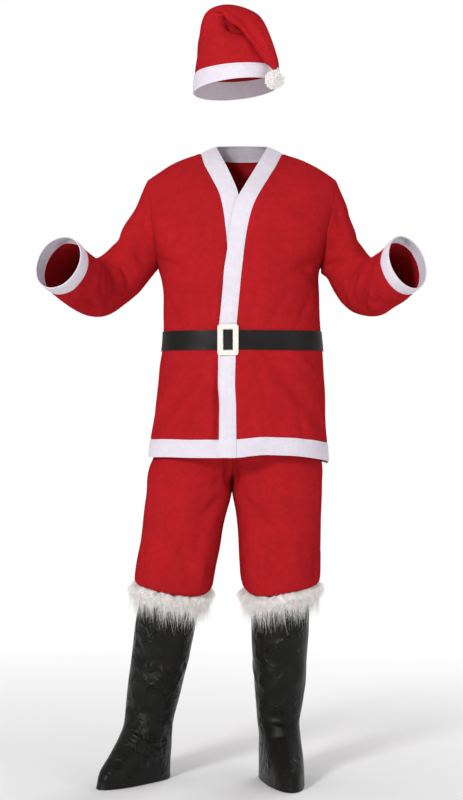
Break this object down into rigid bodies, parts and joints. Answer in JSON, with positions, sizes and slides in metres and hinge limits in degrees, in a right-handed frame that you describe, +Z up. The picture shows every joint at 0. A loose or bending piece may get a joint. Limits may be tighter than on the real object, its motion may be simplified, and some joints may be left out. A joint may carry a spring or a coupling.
{
  "type": "santa suit",
  "caption": "Hollow worn costume: felt cone hat with pompom, wrap-front jacket with trims, belt and buckle, trousers, and boot covers with fur tops.",
  "frame": {"origin": "middle of the wearer's neck at the level of the jacket's neck points, where the shoulders carry the suit", "axes": "+Z up along the wearer, -Y to the wearer's front, +X to the wearer's left"},
  "size_m": [0.9214, 0.4083, 1.8849],
  "materials": {
    "red_felt": "soft matte polyester felt",
    "white_felt": "soft matte white felt",
    "charcoal_leatherette": "smooth satin leatherette",
    "cream_plastic": "moulded, half gloss",
    "black_leatherette": "creased half-gloss leatherette",
    "white_fur": "long-pile acrylic fur"
  },
  "bodies": {
    "root": {"hat_crown": "red_felt", "hat_band": "white_felt", "pompom": "white_fur", "jacket_back": "red_felt", "jacket_front_left": "red_felt", "jacket_front_right": "red_felt", "sleeve_left": "red_felt", "sleeve_right": "red_felt", "front_band_left": "white_felt", "front_band_right": "white_felt", "neck_band": "white_felt", "hem_band": "white_felt", "cuff_band_left": "white_felt", "cuff_band_right": "white_felt", "belt": "charcoal_leatherette", "buckle": "cream_plastic", "waistband": "red_felt", "trousers_front_left": "red_felt", "trousers_front_right": "red_felt", "trousers_back_left": "red_felt", "trousers_back_right": "red_felt", "boot_left": "black_leatherette", "boot_right": "black_leatherette", "fur_top_left": "white_fur", "fur_top_right": "white_fur"}
  },
  "joints": []
}
